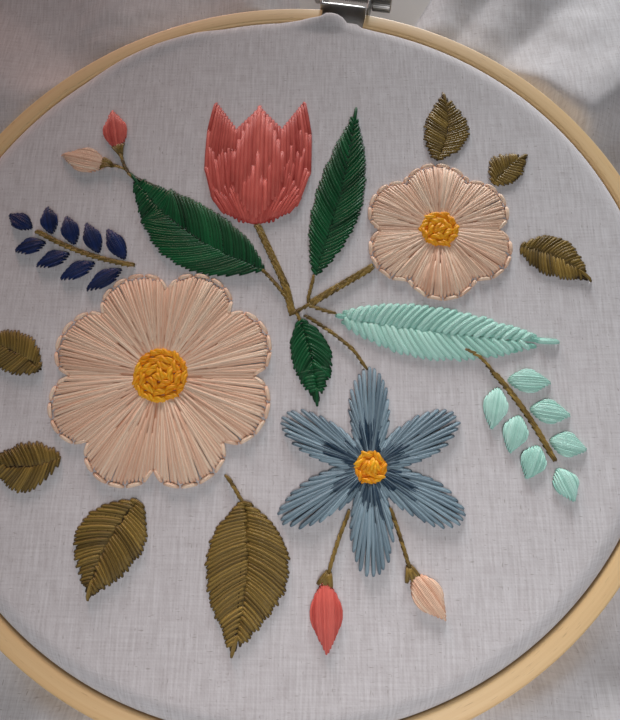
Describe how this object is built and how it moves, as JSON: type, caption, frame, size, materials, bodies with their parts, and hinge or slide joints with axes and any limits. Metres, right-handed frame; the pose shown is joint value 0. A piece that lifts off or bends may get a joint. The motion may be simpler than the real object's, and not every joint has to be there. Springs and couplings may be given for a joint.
{
  "type": "embroidered cloth in a wooden embroidery hoop",
  "caption": "Cotton cloth stitched with a spray of flowers and leaves, stretched in a round wooden hoop with a screw closure, its loose surplus lying in soft folds.",
  "frame": {"origin": "centre of the hoop, on the surface it lies on", "axes": "+Z out of the embroidered face, +Y to the top of the stitched picture along the warp, closure a little to the right of +Y"},
  "size_m": [0.3, 0.3, 0.0133],
  "materials": {
    "beech": "smooth, lightly waxed",
    "cotton_cloth": "plain weave, slubby, matt",
    "plated_steel": "nickel plated, slightly dull",
    "thread_green": "stranded cotton, soft sheen",
    "thread_mint": "stranded cotton, soft sheen",
    "thread_olive": "stranded cotton, soft sheen",
    "thread_coral": "stranded cotton, soft sheen",
    "thread_peach": "stranded cotton, soft sheen",
    "thread_ochre": "stranded cotton, soft sheen",
    "thread_navy": "stranded cotton, soft sheen",
    "thread_blue": "stranded cotton, soft sheen"
  },
  "bodies": {
    "root": {"inner_ring": "beech", "outer_ring": "beech", "cloth": "cotton_cloth", "bracket_left": "plated_steel", "bracket_right": "plated_steel", "screw": "plated_steel", "nut": "plated_steel", "leaf_green_left": "thread_green", "leaf_green_up": "thread_green", "leaf_green_heart": "thread_green", "leaf_mint_right": "thread_mint", "leaf_olive_foot_1": "thread_olive", "leaf_olive_foot_2": "thread_olive", "leaf_olive_foot_3": "thread_olive", "leaf_olive_side": "thread_olive", "leaf_olive_rim_1": "thread_olive", "leaf_olive_rim_2": "thread_olive", "leaf_olive_rim_3": "thread_olive", "bud_coral_left": "thread_coral", "bud_peach_left": "thread_peach", "bud_coral_foot": "thread_coral", "bud_peach_foot": "thread_peach", "sprig_mint_stem": "thread_olive", "sprig_mint_1a": "thread_mint", "sprig_mint_1b": "thread_mint", "sprig_mint_2a": "thread_mint", "sprig_mint_2b": "thread_mint", "sprig_mint_3a": "thread_mint", "sprig_mint_3b": "thread_mint", "sprig_mint_head": "thread_mint", "sprig_navy_stem": "thread_olive", "sprig_navy_1a": "thread_navy", "sprig_navy_1b": "thread_navy", "sprig_navy_2a": "thread_navy", "sprig_navy_2b": "thread_navy", "sprig_navy_3a": "thread_navy", "sprig_navy_3b": "thread_navy", "sprig_navy_4a": "thread_navy", "sprig_navy_4b": "thread_navy", "sprig_navy_head": "thread_navy", "flower_large_petals": "thread_peach", "flower_large_knots": "thread_ochre", "flower_small_petals": "thread_peach", "flower_small_knots": "thread_ochre", "flower_blue_petals": "thread_blue", "flower_blue_knots": "thread_ochre", "tulip_cup": "thread_coral", "stem_tulip": "thread_olive", "stem_flower_small": "thread_olive"}
  },
  "joints": []
}
